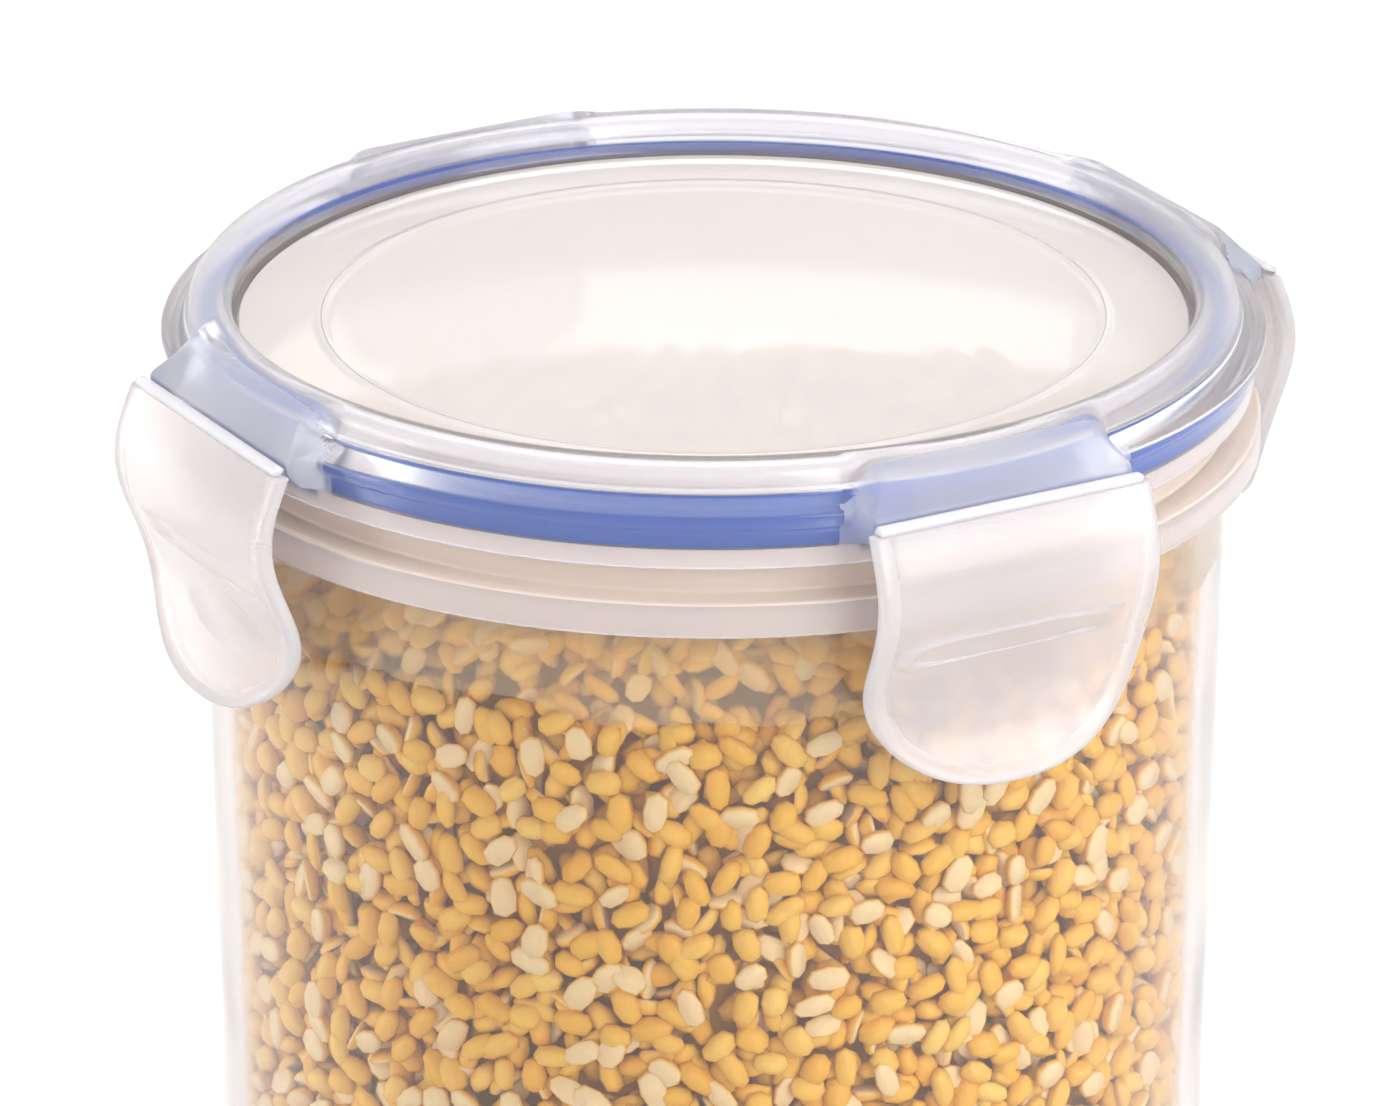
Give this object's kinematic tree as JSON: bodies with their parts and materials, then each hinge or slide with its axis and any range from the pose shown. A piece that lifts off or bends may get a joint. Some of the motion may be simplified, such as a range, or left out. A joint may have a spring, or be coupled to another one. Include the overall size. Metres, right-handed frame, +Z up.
{
  "type": "food canister",
  "caption": "Round clear food canister full of split dal, with a translucent domed lid, a blue seal and hinged clip latches round its rim.",
  "frame": {"origin": "centre of the foot ring, on the surface that the canister stands on", "axes": "+Z up along the canister's axis; the latches sit on +X, +Y, -X and -Y"},
  "size_m": [0.1218, 0.1218, 0.183],
  "materials": {
    "clear_body": "clear moulded plastic",
    "dal": "dry split skinned mung grains",
    "lid_plastic": "translucent milky polypropylene",
    "seal_silicone": "smooth blue silicone",
    "hinge_film": "flexed polypropylene, whitened along the fold"
  },
  "bodies": {
    "canister": {"canister_body": "clear_body", "dal_fill": "dal"},
    "lid": {"lid": "lid_plastic", "seal_ring": "seal_silicone", "living_hinge_front": "hinge_film", "living_hinge_right": "hinge_film", "living_hinge_back": "hinge_film", "living_hinge_left": "hinge_film"},
    "front_latch": {"latch_front": "lid_plastic"},
    "right_latch": {"latch_right": "lid_plastic"},
    "back_latch": {"latch_back": "lid_plastic"},
    "left_latch": {"latch_left": "lid_plastic"}
  },
  "joints": [
    {"name": "lid_lift", "type": "slide", "parent": "canister", "child": "lid", "axis": [0, 0, 1], "range_m": [0, 0.06]},
    {"name": "front_latch_hinge", "type": "hinge", "parent": "lid", "child": "front_latch", "pos_m": [0, -0.0579, 0.1776], "axis": [-1, 0, 0], "range_deg": [0, 150]},
    {"name": "right_latch_hinge", "type": "hinge", "parent": "lid", "child": "right_latch", "pos_m": [0.0579, 0, 0.1776], "axis": [0, -1, 0], "range_deg": [0, 150]},
    {"name": "back_latch_hinge", "type": "hinge", "parent": "lid", "child": "back_latch", "pos_m": [0, 0.0579, 0.1776], "axis": [1, 0, 0], "range_deg": [0, 150]},
    {"name": "left_latch_hinge", "type": "hinge", "parent": "lid", "child": "left_latch", "pos_m": [-0.0579, 0, 0.1776], "axis": [0, 1, 0], "range_deg": [0, 150]}
  ]
}
